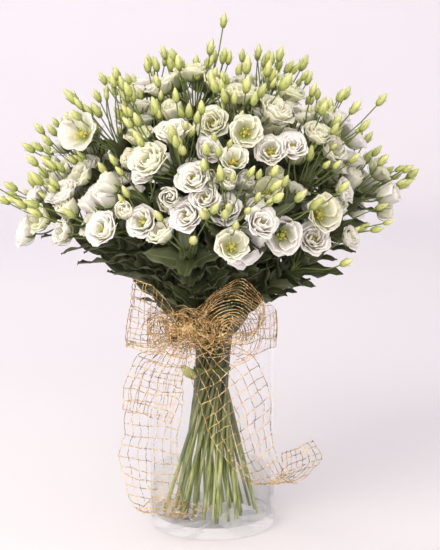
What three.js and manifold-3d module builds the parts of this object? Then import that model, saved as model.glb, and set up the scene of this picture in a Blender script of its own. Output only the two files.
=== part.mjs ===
// A hand-tied bunch of white lisianthus in a glass cylinder vase, dressed with a bow of gold wire net.
// Millimetres, +Z up. The origin is the middle of the vase's underside, and the bow faces -Y.
import * as THREE from 'three';
import { mergeVertices } from 'three/addons/utils/BufferGeometryUtils.js';
import Module from 'manifold-3d';

const wasm = await Module();
wasm.setup();

// Vase and water
const VASE_RADIUS = 100;
const VASE_HEIGHT = 350;
const WALL = 5;
const BASE_THICKNESS = 17;
const FOOT_BEVEL = 2;
const WATER_SURFACE = 88;
const VASE_SIDES = 32;
const HOLE_OVERRUN = 10; // of the cuts for the stems, below their feet
const CLEARANCE = 0.3; // between pieces that touch

// The bunch: its stems cross in a spiral at the binding point
const STEM_COUNT = 20;
const BINDING_HEIGHT = 250;
const STEM_RADIUS = 3.2;
const STEM_SPACING = 6; // the stem with number i crosses at this times the root of i, off the middle
const SPIRAL_LEAN = 0.012; // sideways lean for each millimetre off the middle
const GOLDEN_ANGLE = Math.PI * (3 - Math.sqrt(5));
const BUNCH_TURN = THREE.MathUtils.degToRad(168); // of the whole bunch, in the vase
const CROWN_TURN = THREE.MathUtils.degToRad(68); // what a stem turns round the middle on its way up
const CROWN_CENTRE = 60; // above the binding point: the stems' upper ends point away from here
const CROWN_HALF_ANGLE = THREE.MathUtils.degToRad(54);
const TOP_REACH = 410; // from the crown's centre to the blooms at its top
const SIDE_REACH = 342; // and to those at its edge
const LOW_TIER = 92; // every second outer stem ends this much shorter
const FIRST_LOW_STEM = 9;
const SWEEP_IN = 115; // how far a stem keeps its lean past the binding point
const SWEEP_OUT = 80; // and how straight it runs up to its fork
const STEM_BENDS = 4;
const FORK_BELOW = 80; // the fork lies this far below the blooms

const STEM_TAPER = [1, 1, 0.95, 0.85, 0.75, 0.65]; // from the foot to the fork, in stem radii
const STEM_SIDES = 5;

// Blooms: one in the middle of each cluster and the others round it, lower and turned outward.
// A range is the least value and what chance adds to it.
const OUTER_BLOOMS = 3; // and one fewer on a short stem
const BLOOM_RADIUS = [22, 6];
const OUTER_BLOOM_PLACE = [46, 6]; // off the stem's axis
const OUTER_BLOOM_DROP = [4, 18]; // below the middle of the cluster
const OUTER_BLOOM_TURN = 0.2; // of the angle to the next one
const OUTER_BLOOM_LEAN = 0.45;
const MIDDLE_BLOOM_PLACE = 4;
const MIDDLE_BLOOM_RISE = 8;
const MIDDLE_BLOOM_LEAN = 0.1;
const BRANCH_STEP = 0.09; // of the middle stalk, from one branch to the next
const PETALS = 5;
const CUP_DEPTH = 0.55; // from the stalk's end to the middle of the bloom, in bloom radii

// A bloom from its stalk outward and back into its heart, in bloom radii
const CUP = [
  { height: 0.32, radius: 0.7 },
  { height: 0.92, radius: 1, notch: 0.8 },
  { height: 0.6, radius: 0.6 },
  { height: 1.08, radius: 0.42 },
  { height: 0.72, radius: 0 },
];

// Buds stand between the outer blooms, and every second stem has one more, the tallest
const BUD_TURN = 0.6; // of the angle from one outer bloom to the next
const BUD_PLACE = 47;
const BUD_RISE = [10, 24]; // above the middle of the cluster
const TALL_BUD_PLACE = 36;
const TALL_BUD_RISE = [32, 42];
const BUD_SPLAY = 0.3; // outward for each millimetre of rise
const BUD_LEAN = 0.2;
const BUD_LENGTH = 27;
const BUD_RADIUS = 6;
const BUD_BELLY = 0.4; // of its length
const BUD_ROOT = 0.97; // of the way up the stem's bend, for the first bud
const BUD_ROOT_STEP = 0.035;
const STALK_RADIUS = 1.3;
const STALK_SIDES = 3;

// Leaves stand in opposite pairs. The inner stems have only the pair that every stem has.
const LEAF_PAIRS = [
  { at: 0.53, spread: 0.35, firstStem: 8 },
  { at: 0.62, spread: 0.5, firstStem: 0 },
  { at: 0.8, spread: 0.6, firstStem: 8 },
];
const LEAF_LENGTH = [52, 20];
const LEAF_THICKNESS = 1.2;
const LEAF_WIDTH = 0.4; // of its length
const LEAF_FOLD = 0.3; // drop of the edges below the midrib, of half the width
const LEAF_TIP_ARCH = 0.3; // of its length

// Places along a leaf, with its half width in leaf widths and its arch in leaf lengths
const LEAF_STATIONS = [
  { at: 0.36, half: 0.5, arch: 0.05 },
  { at: 0.72, half: 0.32, arch: 0.16 },
];

// What each repeatable number is for
const USE = {
  clusterTurn: 1,
  bloomRadius: 10,
  budRise: 20,
  tallBudRise: 27,
  leafTurn: 30,
  leafLength: 40,
  bloomTurn: 50,
  bloomPlace: 60,
  bloomDrop: 70,
};

// The binding tie
const TIE_HEIGHT = 9;
const TIE_THICKNESS = 2.4;
const TIE_CHAMFER = 1;
const TIE_SIDES = 16;
const SLANTED_STEM_RADIUS = 1.06 * STEM_RADIUS; // a leaning stem, measured across the binding

// The bow of wire net: a pleated knot, a band round the vase and strips of net between two edges
const WIRE_HALF_WIDTH = 0.9;
const WIRE_HEIGHT = 1.5;
const KNOT_PLACE = [-38, -118, 335];
const KNOT_RADII = [36, 23.5, 34];
const KNOT_LEVELS = [-0.94, -0.4, 0.3, 0.9]; // of its half height
const KNOT_PLEATS = 6;
const KNOT_PLEAT_DEPTH = 0.22;
const BAND_BOTTOM = 290;
const BAND_TOP = 343;
const BAND_ROWS = 16;
const BAND_RADIUS = (VASE_RADIUS + 2 * CLEARANCE) / Math.cos(Math.PI / BAND_ROWS);

// Each strip of net has smooth edges through these points
const STRIPS = [
  // The left loop
  {
    first: [
      [-50, -118, 322], [-85, -136, 302], [-124, -126, 306], [-126, -112, 310],
      [-85, -108, 306], [-48, -112, 322],
    ],
    second: [
      [-52, -124, 350], [-78, -150, 396], [-110, -158, 416], [-112, -142, 412],
      [-80, -132, 394], [-50, -118, 350],
    ],
    rows: 7,
    columns: 2,
  },
  // The right loop
  {
    first: [
      [-24, -118, 338], [0, -122, 386], [38, -130, 410], [78, -128, 384],
      [80, -120, 346], [48, -116, 326], [-14, -116, 326],
    ],
    second: [
      [-26, -128, 338], [8, -158, 376], [38, -172, 388], [66, -170, 368],
      [68, -162, 342], [42, -152, 322], [-16, -126, 324],
    ],
    rows: 8,
    columns: 2,
  },
  // The short tail
  {
    first: [
      [-36, -124, 312], [-42, -124, 280], [-50, -128, 235], [-62, -132, 193],
    ],
    second: [
      [-60, -122, 322], [-108, -122, 292], [-127, -124, 255], [-139, -128, 214],
    ],
    rows: 4,
    columns: 3,
  },
  // The long tail
  {
    first: [
      [-36, -118, 312], [-44, -110, 240], [-50, -110, 160], [-50, -115, 95],
      [-36, -138, 42], [0, -158, 75],
    ],
    second: [
      [-60, -116, 322], [-118, -108, 250], [-136, -108, 170], [-136, -112, 105],
      [-112, -132, 62], [-90, -154, 88],
    ],
    rows: 8,
    columns: 3,
  },
  // The right tail
  {
    first: [
      [-12, -118, 326], [60, -114, 290], [88, -114, 235], [88, -116, 165],
      [125, -132, 100], [160, -162, 145], [150, -170, 176],
    ],
    second: [
      [-40, -120, 312], [-22, -118, 232], [2, -118, 168], [30, -122, 124],
      [62, -134, 102], [98, -160, 118], [104, -168, 156],
    ],
    rows: 9,
    columns: 3,
  },
];

const SAME_POINT = 1e-3; // corners closer than this are one corner

const material = (color, roughness, metalness = 0, opacity = 1) =>
  new THREE.MeshStandardMaterial({ color, roughness, metalness, opacity, transparent: opacity < 1 });

const vector = (x, y, z) => new THREE.Vector3(x, y, z);

const lerp = THREE.MathUtils.lerp;

// A repeatable number from 0 to 1 for each stem and each use of it: the end digits of a steep sine
function vary(stem, use) {
  const value = Math.sin(stem * 12.9898 + use * 78.233) * 43758.5453;
  return value - Math.floor(value);
}

const within = ([least, spread], stem, use) => least + spread * vary(stem, use);

// A closed skin over rings of points that turn counter-clockwise about the way from the first to the last.
// Points of a ring may coincide, so that a ring can be a pole.
function loft(rings) {
  const sides = rings[0].length;
  const corners = [];
  const addTriangle = (a, b, c) => {
    const edges = [a.distanceTo(b), b.distanceTo(c), c.distanceTo(a)];
    if (Math.min(...edges) > SAME_POINT) corners.push(a, b, c);
  };
  for (let k = 0; k + 1 < rings.length; k += 1) {
    for (let j = 0; j < sides; j += 1) {
      const next = (j + 1) % sides;
      addTriangle(rings[k][j], rings[k][next], rings[k + 1][next]);
      addTriangle(rings[k][j], rings[k + 1][next], rings[k + 1][j]);
    }
  }
  const last = rings[rings.length - 1];
  for (let j = 1; j + 1 < sides; j += 1) {
    addTriangle(rings[0][0], rings[0][j + 1], rings[0][j]);
    addTriangle(last[0], last[j], last[j + 1]);
  }
  return new THREE.BufferGeometry().setFromPoints(corners);
}

function toSolid(geometry) {
  geometry.deleteAttribute('normal');
  geometry.deleteAttribute('uv');
  const merged = mergeVertices(geometry, SAME_POINT);
  return new wasm.Manifold(
    new wasm.Mesh({
      numProp: 3,
      vertProperties: new Float32Array(merged.attributes.position.array),
      triVerts: new Uint32Array(merged.index.array),
    }),
  );
}

function toGeometry(solid) {
  const { vertProperties, triVerts } = solid.getMesh();
  const geometry = new THREE.BufferGeometry();
  geometry.setAttribute('position', new THREE.BufferAttribute(vertProperties, 3));
  geometry.setIndex(new THREE.BufferAttribute(triVerts, 1));
  geometry.computeVertexNormals();
  return geometry;
}

const fuse = (geometries) => geometries.map(toSolid).reduce((whole, piece) => whole.add(piece));

function named(name, geometry, look) {
  const mesh = new THREE.Mesh(geometry, look);
  mesh.name = name;
  return mesh;
}

// Two unit vectors square to a direction, the first as near to the reference as can be
function acrossFrom(direction, reference) {
  const side = reference.clone().addScaledVector(direction, -reference.dot(direction)).normalize();
  return [side, direction.clone().cross(side)];
}

// A ring of points, with a radius for each of them in turn
function ring(centre, direction, reference, sides, radii) {
  const [side, other] = acrossFrom(direction, reference);
  return Array.from({ length: sides }, (_, j) => {
    const angle = (2 * Math.PI * j) / sides;
    const radius = radii[j % radii.length];
    return centre
      .clone()
      .addScaledVector(side, radius * Math.cos(angle))
      .addScaledVector(other, radius * Math.sin(angle));
  });
}

// A tapered tube through points, with a radius at each
function tube(points, radii, sides, reference) {
  const rings = points.map((point, k) => {
    const before = points[Math.max(k - 1, 0)];
    const after = points[Math.min(k + 1, points.length - 1)];
    return ring(point, after.clone().sub(before).normalize(), reference, sides, [radii[k]]);
  });
  return loft(rings);
}

// Where one stem runs: everything about the stem with this number, measured from the binding point
function layStem(stem) {
  const share = (stem + 0.5) / STEM_COUNT;
  const turn = BUNCH_TURN + stem * GOLDEN_ANGLE;
  const off = STEM_SPACING * Math.sqrt(stem + 0.5);
  const waist = vector(off * Math.cos(turn), off * Math.sin(turn), 0);
  const lean = vector(-waist.y * SPIRAL_LEAN, waist.x * SPIRAL_LEAN, 1);
  const tilt = Math.acos(1 - share * (1 - Math.cos(CROWN_HALF_ANGLE)));
  const heading = turn + CROWN_TURN;
  const sideways = vector(-Math.sin(heading), Math.cos(heading), 0);
  const axis = vector(Math.sin(tilt) * Math.cos(heading), Math.sin(tilt) * Math.sin(heading), Math.cos(tilt));
  const outward = sideways.clone().cross(axis);
  const low = stem >= FIRST_LOW_STEM && stem % 2 === 1;
  const reach = lerp(TOP_REACH, SIDE_REACH, share) - (low ? LOW_TIER * share : 0);
  const centre = vector(0, 0, CROWN_CENTRE);
  const fork = centre.clone().addScaledVector(axis, reach - FORK_BELOW);
  const sweep = new THREE.CubicBezierCurve3(
    waist,
    waist.clone().addScaledVector(lean, SWEEP_IN),
    fork.clone().addScaledVector(axis, -SWEEP_OUT),
    fork,
  );
  const bends = sweep.getPoints(STEM_BENDS);
  const path = new THREE.CurvePath();
  bends.slice(1).forEach((bend, k) => path.add(new THREE.LineCurve3(bends[k], bend)));
  const slant = Math.hypot(lean.x, lean.y) / lean.length();
  const drop = BINDING_HEIGHT - BASE_THICKNESS - CLEARANCE - STEM_RADIUS * slant;
  const foot = waist.clone().addScaledVector(lean, -drop);
  const cluster = centre.addScaledVector(axis, reach);
  return { stem, low, axis, outward, sideways, foot, bends, path, cluster };
}

// The way to a place in the cluster, across the stem's axis
function acrossCluster({ outward, sideways }, angle) {
  return outward.clone().multiplyScalar(Math.cos(angle)).addScaledVector(sideways, Math.sin(angle));
}

function placeBloom(layout, turn, j) {
  const { stem, axis, cluster } = layout;
  const away = acrossCluster(layout, turn);
  const outer = j > 0;
  const radius = within(BLOOM_RADIUS, stem, USE.bloomRadius + j);
  const place = outer ? within(OUTER_BLOOM_PLACE, stem, USE.bloomPlace + j) : MIDDLE_BLOOM_PLACE;
  const rise = outer ? -within(OUTER_BLOOM_DROP, stem, USE.bloomDrop + j) : MIDDLE_BLOOM_RISE;
  const facing = axis.clone().addScaledVector(away, outer ? OUTER_BLOOM_LEAN : MIDDLE_BLOOM_LEAN).normalize();
  const middle = cluster.clone().addScaledVector(away, place).addScaledVector(axis, rise);
  return { away, radius, facing, base: middle.addScaledVector(facing, -CUP_DEPTH * radius) };
}

function placeBlooms(layout) {
  const { stem, low } = layout;
  return Array.from({ length: low ? OUTER_BLOOMS : OUTER_BLOOMS + 1 }, (_, j) => {
    const steps = j + OUTER_BLOOM_TURN * vary(stem, USE.bloomTurn + j);
    return placeBloom(layout, 2 * Math.PI * (vary(stem, USE.clusterTurn) + steps / OUTER_BLOOMS), j);
  });
}

// A stalk that opens into a cup of petals with a lobed rim, round an inner whorl
function bloomGeometry({ base, facing, away, radius }, fork) {
  const doubled = (points) => points.flatMap((point) => [point, point]);
  const plain = (middle, direction, size) => doubled(ring(middle, direction, away, PETALS, [size]));
  const whorl = ({ height, radius: rim, notch }) => {
    const middle = base.clone().addScaledVector(facing, height * radius);
    return notch
      ? ring(middle, facing, away, 2 * PETALS, [rim * radius, notch * radius])
      : plain(middle, facing, rim * radius);
  };
  const way = base.clone().sub(fork).normalize();
  return loft([plain(fork, way, STALK_RADIUS), plain(base, facing, STALK_RADIUS), ...CUP.map(whorl)]);
}

// The outer blooms branch off the stalk of the middle one, one above the other
function bloomsSolid(layout) {
  const { axis, bends } = layout;
  const fork = bends[STEM_BENDS].clone().addScaledVector(axis, CLEARANCE + STALK_RADIUS / 2);
  const blooms = placeBlooms(layout);
  const branchAt = (j) => fork.clone().lerp(blooms[0].base, BRANCH_STEP * j);
  return fuse(blooms.map((bloom, j) => bloomGeometry(bloom, branchAt(j))));
}

// A straight stalk from the stem to a pointed bud
function budStalk(layout, k) {
  const { stem, axis, path, cluster, sideways } = layout;
  const tall = k === OUTER_BLOOMS;
  const steps = (k + BUD_TURN) / OUTER_BLOOMS;
  const away = acrossCluster(layout, 2 * Math.PI * (vary(stem, USE.clusterTurn) + steps));
  const rise = tall ? within(TALL_BUD_RISE, stem, USE.tallBudRise) : within(BUD_RISE, stem, USE.budRise + k);
  const place = (tall ? TALL_BUD_PLACE : BUD_PLACE) + BUD_SPLAY * rise;
  const root = path.getPoint(BUD_ROOT - BUD_ROOT_STEP * k);
  const neck = cluster.clone().addScaledVector(away, place).addScaledVector(axis, rise);
  const way = axis.clone().addScaledVector(away, BUD_LEAN).normalize();
  const belly = neck.clone().addScaledVector(way, BUD_BELLY * BUD_LENGTH);
  const tip = neck.clone().addScaledVector(way, BUD_LENGTH);
  return tube([root, neck, belly, tip], [STALK_RADIUS, STALK_RADIUS, BUD_RADIUS, 0], STALK_SIDES, sideways);
}

// A pointed leaf folded along its midrib, rooted in the stem and arching away from it
function leafGeometry(root, along, away, length) {
  const across = away.clone().cross(along).normalize();
  const rings = LEAF_STATIONS.map(({ at, half, arch }) => {
    const rib = root.clone().addScaledVector(along, at * length).addScaledVector(away, arch * length);
    const reach = half * LEAF_WIDTH * length;
    const fold = rib.clone().addScaledVector(away, -LEAF_FOLD * reach);
    const edge = (side) => fold.clone().addScaledVector(across, side * reach);
    const face = (side) => rib.clone().addScaledVector(away, (side * LEAF_THICKNESS) / 2);
    return [edge(1), face(1), edge(-1), face(-1)];
  });
  const tip = root.clone().addScaledVector(along, length).addScaledVector(away, LEAF_TIP_ARCH * length);
  return loft([Array(4).fill(root), ...rings, Array(4).fill(tip)]);
}

// Each pair of leaves stands a quarter turn from the last
function leafPair({ stem, path, sideways }, { at, spread }, pair) {
  const root = path.getPoint(at);
  const tangent = path.getTangent(at);
  const [side, other] = acrossFrom(tangent, sideways);
  return [0, 1].map((half) => {
    const angle = Math.PI * (vary(stem, USE.leafTurn) + pair / 2 + half);
    const away = side.clone().multiplyScalar(Math.cos(angle)).addScaledVector(other, Math.sin(angle));
    const along = tangent.clone().addScaledVector(away, spread).normalize();
    const lift = away.clone().addScaledVector(along, -away.dot(along)).normalize();
    return leafGeometry(root, along, lift, within(LEAF_LENGTH, stem, USE.leafLength + 2 * pair + half));
  });
}

function leaves(layout) {
  const pairs = LEAF_PAIRS.filter(({ firstStem }) => layout.stem >= firstStem);
  return pairs.flatMap((place, pair) => leafPair(layout, place, pair));
}

// A stem runs from its foot through the binding point and up to its fork
function stemGeometry({ foot, bends, sideways }) {
  return tube([foot, ...bends], STEM_TAPER.map((share) => share * STEM_RADIUS), STEM_SIDES, sideways);
}

function spraySolid(layout) {
  const budCount = OUTER_BLOOMS + (layout.stem % 2 === 0 ? 1 : 0);
  const buds = Array.from({ length: budCount }, (_, k) => budStalk(layout, k));
  return fuse([stemGeometry(layout), ...buds, ...leaves(layout)]);
}

// An outline of radii and heights turned about the upright axis
function turned(outline, sides) {
  const lathe = new THREE.LatheGeometry(outline.map(([r, z]) => new THREE.Vector2(r, z)), sides);
  return toGeometry(toSolid(lathe.rotateX(Math.PI / 2)));
}

// The glass cylinder, with its thick base
function vaseGeometry() {
  const inner = VASE_RADIUS - WALL;
  const outline = [
    [0, 0],
    [VASE_RADIUS - FOOT_BEVEL, 0],
    [VASE_RADIUS, FOOT_BEVEL],
    [VASE_RADIUS, VASE_HEIGHT],
    [inner, VASE_HEIGHT],
    [inner, BASE_THICKNESS],
    [0, BASE_THICKNESS],
  ];
  return turned(outline, VASE_SIDES);
}

// The water, with a plain hole down to the base for each stem
function waterGeometry(layouts) {
  const depth = WATER_SURFACE - BASE_THICKNESS - CLEARANCE;
  const radius = VASE_RADIUS - WALL - CLEARANCE;
  const body = new THREE.CylinderGeometry(radius, radius, depth, VASE_SIDES).rotateX(Math.PI / 2);
  body.translate(0, 0, BASE_THICKNESS + CLEARANCE + depth / 2);
  const holes = layouts.map(({ foot, bends: [top], sideways }) => {
    const below = foot.clone().sub(top).setLength(HOLE_OVERRUN).add(foot);
    const radii = Array(2).fill(STEM_RADIUS + 2 * CLEARANCE);
    return toSolid(tube([below, top], radii, STEM_SIDES, sideways)).translate([0, 0, BINDING_HEIGHT]);
  });
  return toGeometry(holes.reduce((water, hole) => water.subtract(hole), toSolid(body)));
}

// The cord wound round the stems where they cross
function tieGeometry() {
  const bundle = STEM_SPACING * Math.sqrt(STEM_COUNT - 0.5) + SLANTED_STEM_RADIUS;
  const inner = (bundle + CLEARANCE) / Math.cos(Math.PI / TIE_SIDES);
  const outer = inner + TIE_THICKNESS;
  const half = TIE_HEIGHT / 2;
  const outline = [
    [inner, -half],
    [outer, TIE_CHAMFER - half],
    [outer, half - TIE_CHAMFER],
    [inner, half],
    [inner, -half],
  ];
  return turned(outline, TIE_SIDES).translate(0, 0, -half);
}

// One crossing of the net's wires: its four feet on the surface, and its apex above them
function netCrossing(surface, u, v) {
  const nudge = 0.01;
  const here = surface(u, v);
  const along = surface(u + nudge, v).sub(surface(u - nudge, v)).normalize();
  const across = surface(u, v + nudge).sub(surface(u, v - nudge));
  const normal = along.clone().cross(across).normalize();
  const side = normal.clone().cross(along);
  const foot = (x, y) =>
    here
      .clone()
      .addScaledVector(along, x * WIRE_HALF_WIDTH)
      .addScaledVector(side, y * WIRE_HALF_WIDTH);
  return {
    apex: here.clone().addScaledVector(normal, WIRE_HEIGHT),
    feet: [foot(1, 1), foot(-1, 1), foot(-1, -1), foot(1, -1)],
  };
}

// A net of three-sided wires on a surface, one along each line of the grid. The surface gives the point
// at shares u and v of its length and width, and a closed net joins its last row to its first.
function net(surface, rows, columns, closed = false) {
  const grid = Array.from({ length: closed ? rows : rows + 1 }, (_, i) =>
    Array.from({ length: columns + 1 }, (_, j) => netCrossing(surface, i / rows, j / columns)),
  );
  const row = (i) => (closed ? grid[(i + rows) % rows] : grid[i]) ?? [];
  const corners = [];
  const addQuad = (a, b, c, d) => corners.push(a, b, c, a, c, d);
  const addWay = ({ apex, feet }, there, way) => {
    const right = feet[(way + 3) % 4];
    const left = feet[way];
    if (!there) {
      corners.push(right, left, apex);
    } else if (way < 2) {
      const farRight = there.feet[(way + 2) % 4];
      const farLeft = there.feet[(way + 1) % 4];
      addQuad(right, left, farLeft, farRight);
      addQuad(right, farRight, there.apex, apex);
      addQuad(left, apex, there.apex, farLeft);
    }
  };
  grid.forEach((crossings, i) =>
    crossings.forEach((here, j) => {
      const [a, b, c, d] = here.feet;
      addQuad(a, d, c, b);
      [row(i + 1)[j], crossings[j + 1], row(i - 1)[j], crossings[j - 1]].forEach((there, way) =>
        addWay(here, there, way),
      );
    }),
  );
  return new THREE.BufferGeometry().setFromPoints(corners);
}

// A strip of net between two edges
function strip({ first, second, rows, columns }) {
  const edges = [first, second].map((points) => new THREE.CatmullRomCurve3(points.map((p) => vector(...p))));
  const surface = (u, v) => {
    const [a, b] = edges.map((edge) => edge.getPoint(THREE.MathUtils.clamp(u, 0, 1)));
    return a.lerp(b, v);
  };
  return net(surface, rows, columns);
}

// The gathered net of the knot, a pleated ball
function knotGeometry() {
  const up = vector(0, 0, 1);
  const right = vector(1, 0, 0);
  const levels = KNOT_LEVELS.map((height) => {
    const crest = Math.sqrt(1 - height ** 2);
    const pleats = [crest, (1 - KNOT_PLEAT_DEPTH) * crest];
    return ring(up.clone().multiplyScalar(height), up, right, 2 * KNOT_PLEATS, pleats);
  });
  return loft(levels)
    .scale(...KNOT_RADII)
    .translate(...KNOT_PLACE);
}

function bandGeometry() {
  const surface = (u, v) => {
    const angle = 2 * Math.PI * u;
    const height = lerp(BAND_BOTTOM, BAND_TOP, v);
    return vector(BAND_RADIUS * Math.cos(angle), BAND_RADIUS * Math.sin(angle), height);
  };
  return net(surface, BAND_ROWS, 1, true);
}

const GLASS = material(0xf4fafa, 0.03, 0, 0.3);
const WATER = material(0xe6f1ec, 0.02, 0, 0.4);
const CORD = material(0x8a9a4e, 0.85);
const GOLD = material(0xc99a4a, 0.35, 0.9);
const GREEN = material(0x6f8f48, 0.6);
const WHITE = material(0xf8f7ee, 0.55);

const layouts = Array.from({ length: STEM_COUNT }, (_, stem) => layStem(stem));

const holder = new THREE.Group();
holder.add(named('vase', vaseGeometry(), GLASS));
holder.add(named('water', waterGeometry(layouts), WATER));

const bunch = new THREE.Group();
bunch.position.z = BINDING_HEIGHT;
bunch.add(named('binding_tie', tieGeometry(), CORD));
layouts.forEach((layout) => {
  const number = String(layout.stem + 1).padStart(2, '0');
  bunch.add(named(`spray_${number}`, toGeometry(spraySolid(layout)), GREEN));
  bunch.add(named(`blooms_${number}`, toGeometry(bloomsSolid(layout)), WHITE));
});

const bow = toGeometry(fuse([knotGeometry(), bandGeometry(), ...STRIPS.map(strip)]));

const bouquet = new THREE.Group();
bouquet.add(holder, bunch, named('gold_net_bow', bow, GOLD));

export default bouquet;
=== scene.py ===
# A hand-tied bunch of white lisianthus in a glass cylinder vase, with a bow of gold wire net.
import random
from math import acos, atan2, ceil, cos, floor, hypot, pi, radians, sin, sqrt, tau

import bmesh
import bpy
from mathutils import Matrix, Vector, noise
from mathutils.geometry import interpolate_bezier


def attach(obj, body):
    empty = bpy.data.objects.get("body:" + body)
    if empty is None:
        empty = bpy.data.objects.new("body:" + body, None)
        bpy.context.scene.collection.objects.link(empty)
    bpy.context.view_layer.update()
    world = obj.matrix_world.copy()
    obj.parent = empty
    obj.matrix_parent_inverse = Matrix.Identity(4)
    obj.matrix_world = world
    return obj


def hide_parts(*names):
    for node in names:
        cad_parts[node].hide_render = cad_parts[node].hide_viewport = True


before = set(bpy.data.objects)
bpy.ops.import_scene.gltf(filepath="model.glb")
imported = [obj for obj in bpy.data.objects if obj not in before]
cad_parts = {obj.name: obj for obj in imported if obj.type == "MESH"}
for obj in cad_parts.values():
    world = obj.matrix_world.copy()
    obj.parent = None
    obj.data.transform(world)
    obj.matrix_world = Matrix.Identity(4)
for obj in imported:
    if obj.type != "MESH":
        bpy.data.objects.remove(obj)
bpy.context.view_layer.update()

# -------- sizes, in metres
VASE_RADIUS = 0.100
VASE_HEIGHT = 0.350
WALL = 0.005
BASE_THICKNESS = 0.017
WATER_SURFACE = 0.088
CLEARANCE = 0.0003
ROUND_STEPS = 96  # round the vase and the water

STEM_COUNT = 20
BINDING_HEIGHT = 0.250
STEM_RADIUS = 0.0032
STEM_SPACING = 0.006
SPIRAL_LEAN = 12.0  # sideways lean for each metre off the middle
GOLDEN_ANGLE = pi * (3 - sqrt(5))
BUNCH_TURN = radians(168)
CROWN_TURN = radians(68)
CROWN_CENTRE = 0.060
CROWN_HALF_ANGLE = radians(54)
TOP_REACH = 0.410
SIDE_REACH = 0.342
LOW_TIER = 0.092
FIRST_LOW_STEM = 9
SWEEP_IN = 0.115
SWEEP_OUT = 0.080
FORK_BELOW = 0.080
STEM_POINTS = 17  # from the tie to the fork
FOOT_POINTS = 12  # from the foot to the tie
FIRST_BETWEEN = 1  # stems that stand between the ruled ones start beside this one
BETWEEN_SUNK = 0.038
BETWEEN_RADIUS = 0.0023
TWINE_RADIUS = 0.0011
TWINE_TURNS = 4
TWINE_STEPS = 36  # in each turn
TWINE_RISE = 0.0064

OUTER_BLOOMS = 3
BLOOM_RADIUS = (0.022, 0.006)
OUTER_BLOOM_PLACE = (0.046, 0.006)
OUTER_BLOOM_DROP = (0.004, 0.018)
OUTER_BLOOM_LEAN = 0.45
MIDDLE_BLOOM_PLACE = 0.004
MIDDLE_BLOOM_RISE = 0.008
MIDDLE_BLOOM_LEAN = 0.1
CUP_DEPTH = 0.55
FILLING_BLOOMS = 5
LOWEST_BLOOM = 0.466
WRAPPED_SHARE = 0.12
CREAM_SHARE_TOP = 0.55  # of the blooms on the stems in the middle of the crown
CREAM_SHARE_SIDE = 0.12
PETAL_THICKNESS = 0.0005
BUD_LENGTH = 0.025
BUD_PLACE = 0.047
BUD_RISE = (0.010, 0.024)
TALL_BUD_PLACE = 0.036
TALL_BUD_RISE = (0.032, 0.042)
FILLING_BUDS = 15
FILLING_BUDS_LOW = 1  # on a low stem
BETWEEN_BUDS_TOP = 9  # on the stems between the ruled ones
BETWEEN_BUDS_SIDE = 3
LEAF_LENGTH = (0.052, 0.020)
LEAF_WIDTH = 0.4
LEAF_THICKNESS = 0.0008
FIRST_LEAFY_STEM = 7  # the stems before it have no leaves near the tie
BARE_PAIRS = 3

KNOT_PLACE = Vector((-0.038, -0.118, 0.335))
KNOT_RADII = Vector((0.036, 0.0235, 0.034))
BAND_BOTTOM = 0.290
BAND_TOP = 0.343
BAND_RADIUS = 0.1026
BAND_BULGE = 0.004
BAND_STEPS = 160
BAND_POSTS = 40
NET_CELL = 0.016
WIRE_RADIUS = 0.00056
PULL = (28, 0.0062)  # how often and how far the net is pulled out of shape
CRIMP = (190, 0.0018)  # and its wire is crimped
TANGLE_STRANDS = 34
CURLS = 66
SWEPT_CURLS = 9
NET_SEED = 7

# Each stem's number is added to these, so that every stem has its own draws
BLOOM_SEED, BUD_SEED, LEAF_SEED, GREEN_SEED, WHITE_SEED = 100, 300, 500, 700, 900

UP = Vector((0, 0, 1))


# -------- how the stems are laid
def vary(stem, use):
    """A repeatable number from 0 to 1 for a stem and a use: the end digits of a steep sine."""
    value = sin(stem * 12.9898 + use * 78.233) * 43758.5453
    return value - floor(value)


def within(span, stem, use):
    return span[0] + span[1] * vary(stem, use)


def lerp(a, b, share):
    return a + (b - a) * share


def point_along(points, share):
    """The place and the heading at a share of a line's length."""
    steps = [(b - a).length for a, b in zip(points, points[1:])]
    left = share * sum(steps)
    for a, b, step in zip(points, points[1:], steps):
        if left <= step:
            return a.lerp(b, left / step), (b - a).normalized()
        left -= step
    return points[-1].copy(), (points[-1] - points[-2]).normalized()


def bent(start, way_in, end, way_out, count, pull=0.4):
    """A smooth bend that leaves and arrives in the given directions."""
    reach = (end - start).length * pull
    return interpolate_bezier(start, start + way_in * reach, end - way_out * reach, end, count)


def square_to(heading, way):
    """The unit vector that is square to the heading, on the side of this way."""
    return (way - heading * way.dot(heading)).normalized()


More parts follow.
